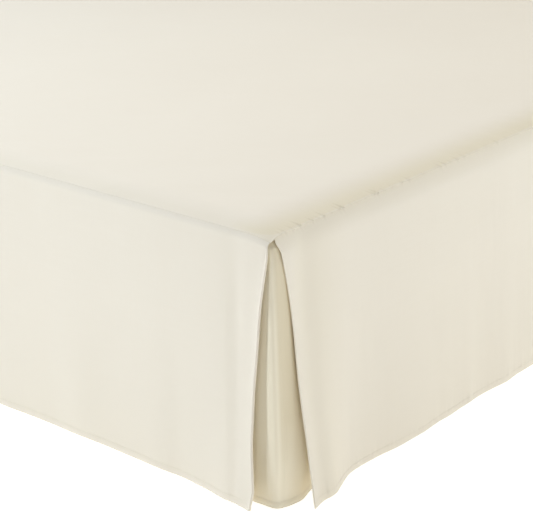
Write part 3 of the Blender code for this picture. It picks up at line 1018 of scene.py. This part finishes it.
def noise(tree, place, scale, detail=2.0, stretch=(1.0, 1.0, 1.0)):
    """A noise value over the surface, stretched along its axes."""
    moved = node(tree, "ShaderNodeMapping", {"Vector": place, "Scale": stretch}).outputs["Vector"]
    inputs = {"Vector": moved, "Scale": scale, "Detail": detail}
    return node(tree, "ShaderNodeTexNoise", inputs).outputs["Fac"]


def remapped(tree, value, low, high, start=NOISE_LOW, end=NOISE_HIGH):
    """A value brought from a range, the noise's own if none is given, to another."""
    inputs = {"Value": value, "From Min": start, "From Max": end, "To Min": low, "To Max": high}
    return node(tree, "ShaderNodeMapRange", inputs).outputs["Result"]


def maths(tree, operation, first, second):
    """Two values, each a socket or a number, joined by an operation."""
    inputs = {0: first, 1: second}
    return node(tree, "ShaderNodeMath", inputs, operation=operation).outputs["Value"]


def distance_along(tree, place, direction):
    """How far places lie along a direction."""
    inputs = {0: place, 1: direction}
    return node(tree, "ShaderNodeVectorMath", inputs, operation="DOT_PRODUCT").outputs["Value"]


def new_finish(name):
    """A new material, with its node tree, its shader and the places on its object."""
    finish = bpy.data.materials.new(name)
    finish.use_nodes = True
    tree = finish.node_tree
    place = node(tree, "ShaderNodeTexCoord", {}).outputs["Object"]
    return finish, tree, tree.nodes["Principled BSDF"], place


def blended(tree, share, first, second):
    """A colour between two, by a linked share; the first is a colour or a link."""
    if isinstance(first, tuple):
        first = (*first, 1.0)
    inputs = {"Factor": share, "A": first, "B": (*second, 1.0)}
    return node(tree, "ShaderNodeMix", inputs, data_type="RGBA").outputs["Result"]


def bumped(tree, height, strength, distance, over=None):
    """A normal bumped by a height, over another bump's normal if there is one."""
    inputs = {"Height": height, "Strength": strength, "Distance": distance}
    if over is not None:
        inputs["Normal"] = over
    return node(tree, "ShaderNodeBump", inputs).outputs["Normal"]


def squeezed(tree, place, along, share):
    """Places squeezed along one direction, so a noise over them is drawn out that way."""
    back = [-(1.0 - share) * value for value in along]
    inputs = {0: back, "Scale": distance_along(tree, place, along)}
    scaled = node(tree, "ShaderNodeVectorMath", inputs, operation="SCALE")
    inputs = {0: place, 1: scaled.outputs["Vector"]}
    return node(tree, "ShaderNodeVectorMath", inputs, operation="ADD").outputs["Vector"]


def ramped(tree, value, stops):
    """A value led through straight lines between pairs of input and output."""
    total = None
    for (first, low), (second, high) in zip(stops, stops[1:]):
        rise = remapped(tree, value, 0.0, high - low, first, second)
        total = rise if total is None else maths(tree, "ADD", total, rise)
    return maths(tree, "ADD", total, stops[0][1])


def cloth_finish(name, colours, warp, weft, slub=0.5, wrinkles=None, painted_shades=()):
    """Fine plain-woven cloth: its threads, slubs, tones, painted shade, small dents and wrinkles.
    """
    finish, tree, shader, place = new_finish(name)
    threads = []
    for way in (warp, weft):
        turns = maths(tree, "MULTIPLY", distance_along(tree, place, way), math.pi / THREAD_PITCH)
        threads.append(maths(tree, "SINE", turns, 0.0))
    slubs_along, slubs_across = [
        noise(tree, place, SLUB_SCALE, 2.0, tuple(1.0 - SLUB_DRAWN * abs(part) for part in way))
        for way in (warp, weft)
    ]
    slubs = maths(tree, "ADD", slubs_along, slubs_across)
    tone = maths(tree, "MULTIPLY", noise(tree, place, TONE_SCALE), 0.6)
    mixed = maths(tree, "ADD", tone, maths(tree, "MULTIPLY", slubs, 0.2))
    toned = blended(tree, remapped(tree, mixed, 0.0, 1.0), *colours)
    # Painted shade: each deeper colour is laid over the cloth's tone where its ramps show it
    split = node(tree, "ShaderNodeSeparateXYZ", {0: place})
    for painted_shade in painted_shades:
        shown = None
        for axis, stops in painted_shade.ramps:
            share = ramped(tree, split.outputs[axis], stops)
            shown = share if shown is None else maths(tree, "MULTIPLY", shown, share)
        toned = blended(tree, shown, toned, painted_shade.colour)
    weave = maths(tree, "MULTIPLY", maths(tree, "MULTIPLY", *threads), 0.5)
    fine = maths(tree, "ADD", weave, maths(tree, "MULTIPLY", slubs, slub))
    normal = bumped(tree, fine, 0.25, 0.00006)
    normal = bumped(tree, noise(tree, place, DENT_SCALE, 3.0), 0.5, 0.0012, normal)
    if wrinkles:
        drawn_out = squeezed(tree, place, wrinkles.along, wrinkles.squeeze)
        wrinkled = noise(tree, drawn_out, wrinkles.scale, 3.0)
        normal = bumped(tree, wrinkled, 0.6, wrinkles.depth, normal)
    inputs = {
        "Base Color": toned,
        "Roughness": remapped(tree, slubs_along, 0.72, 0.88),
        "Specular IOR Level": 0.25,
        "Sheen Weight": 0.12,
        "Sheen Roughness": 0.45,
        "Normal": normal,
    }
    set_inputs(tree, shader, inputs)
    return finish


def thread_finish(name, colour):
    """The sewing thread: twisted, slightly glossier than the cloth."""
    finish, tree, shader, place = new_finish(name)
    twist = noise(tree, place, 2600.0, 1.0)
    inputs = {
        "Base Color": blended(tree, twist, colour, [part * THREAD_DARKER for part in colour]),
        "Roughness": remapped(tree, twist, 0.5, 0.65),
        "Specular IOR Level": 0.35,
        "Normal": bumped(tree, twist, 0.4, 0.0001),
    }
    set_inputs(tree, shader, inputs)
    return finish


def wood_finish(name):
    """Turned hardwood under clear lacquer, its grain running up the leg."""
    finish, tree, shader, place = new_finish(name)
    grain = noise(tree, place, 110.0, 5.0, (1.0, 1.0, 0.07))
    pored = maths(tree, "MULTIPLY", noise(tree, place, 700.0, 2.0, (1.0, 1.0, 0.04)), 0.25)
    mixed = maths(tree, "ADD", maths(tree, "MULTIPLY", grain, 0.75), pored)
    inputs = {
        "Base Color": blended(tree, remapped(tree, mixed, 0.0, 1.0), *WOOD_COLOURS),
        "Roughness": remapped(tree, grain, 0.30, 0.46),
        "Coat Weight": 0.25,
        "Coat Roughness": 0.25,
        "Normal": bumped(tree, mixed, 0.3, 0.0003),
    }
    set_inputs(tree, shader, inputs)
    return finish


def make_floor():
    """The plain pale studio floor, which goes on far behind the bed."""
    finish, tree, shader, place = new_finish("studio_floor")
    inputs = {
        "Base Color": FLOOR_COLOUR,
        "Roughness": remapped(tree, noise(tree, place, 4.0), 0.88, 0.92),
        "Specular IOR Level": 0.0,
        "Emission Color": FLOOR_COLOUR,
        "Emission Strength": FLOOR_GLOW,
    }
    set_inputs(tree, shader, inputs)
    mesh = bpy.data.meshes.new("studio_floor")
    side = FLOOR_SIDE / 2
    corners = [(-side, -side, 0.0), (side, -side, 0.0), (side, side, 0.0), (-side, side, 0.0)]
    mesh.from_pydata(corners, [], [(0, 1, 2, 3)])
    mesh.materials.append(finish)
    floor = in_scene("studio_floor", mesh)


def make_lights():
    """Broad soft lights over, behind and beside the bed, in a room that adds little itself."""
    world = bpy.data.worlds.new("studio")
    world.use_nodes = True
    sky = world.node_tree.nodes["Background"]
    sky.inputs["Color"].default_value = ROOM_COLOUR
    sky.inputs["Strength"].default_value = ROOM_STRENGTH
    bpy.context.scene.world = world
    for light in STUDIO_LIGHTS:
        lamp = bpy.data.lights.new(light.name, "AREA")
        lamp.shape = "RECTANGLE"
        lamp.size = light.wide
        lamp.size_y = light.high
        lamp.energy = light.power
        lamp.color = light.colour
        held = in_scene(light.name, lamp)
        held.location = light.place
        aim = Vector(LIGHTS_AIM) - Vector(light.place)
        held.rotation_euler = aim.to_track_quat("-Z", "Y").to_euler()


def make_camera():
    """The photo's camera: off the foot's right-hand corner, looking down along the bed."""
    far = math.cos(CAMERA_PITCH)
    ahead = Vector(
        (math.sin(CAMERA_YAW) * far, math.cos(CAMERA_YAW) * far, -math.sin(CAMERA_PITCH))
    )
    level = Vector((math.cos(CAMERA_YAW), -math.sin(CAMERA_YAW), 0.0))
    above = level.cross(ahead)
    right = math.cos(CAMERA_ROLL) * level + math.sin(CAMERA_ROLL) * above
    up = -math.sin(CAMERA_ROLL) * level + math.cos(CAMERA_ROLL) * above
    lens = bpy.data.cameras.new("camera")
    lens.sensor_width = SENSOR
    lens.lens = SENSOR * FOCAL_PIXELS / IMAGE_WIDTH
    lens.clip_start = 0.01
    lens.clip_end = 100.0
    held = in_scene("camera", lens)
    turned = Matrix((right, up, -ahead)).transposed().to_4x4()
    held.matrix_world = Matrix.Translation(CAMERA_PLACE) @ turned
    bpy.context.scene.camera = held
    bpy.context.scene.view_settings.view_transform = "Standard"


make_camera()
make_floor()
make_lights()
# The painted shade laid over each cloth's colour
deck_painted_shades = (DECK_SEAM_PAINTED_SHADE,)
deck_cloth = cloth_finish(
    "woven_platform", CREAM, (1, 0, 0), (0, 1, 0), wrinkles=DECK_WRINKLES, painted_shades=deck_painted_shades
)
foot_painted_shades = (LOWER_PAINTED_SHADE, BESIDE_FOOT_PAINTED_SHADE)
foot_cloth = cloth_finish(
    "woven_foot_drop", CREAM, (1, 0, 0), (0, 0, 1), wrinkles=DROP_WRINKLES, painted_shades=foot_painted_shades
)
side_painted_shades = (DROP_SEAM_PAINTED_SHADE, LOWER_PAINTED_SHADE, BESIDE_SIDE_PAINTED_SHADE)
side_cloth = cloth_finish(
    "woven_side_drops", CREAM, (0, 1, 0), (0, 0, 1), wrinkles=DROP_WRINKLES, painted_shades=side_painted_shades
)
# The pleat inserts take the more saturated cream, itself painted shade, and their own painted shade
pleat_painted_shades = (PLEAT_PAINTED_SHADE, PLEAT_HEM_PAINTED_SHADE)
insert_cloth = {
    side: cloth_finish(
        f"woven_insert_{side}", CREAM_PAINTED_SHADE, (lean, 0.7, 0), (0, 0, 1), painted_shades=pleat_painted_shades
    )
    for side, lean in (("right", 0.7), ("left", -0.7))
}
hem_thread = thread_finish("sewing_thread", THREAD_COLOUR)
make_platform(deck_cloth)
make_drops(foot_cloth, side_cloth, hem_thread)
make_inserts(insert_cloth, hem_thread)
make_base(
    cloth_finish("ticking_cover", TICKING, (0.7, 0.7, 0), (0, 0, 1), 1.0),
    cloth_finish("ticking_tape", TAPE_COLOURS, (0.7, 0.7, 0), (0, 0, 1), 1.2),
)
make_legs(wood_finish("turned_wood"))
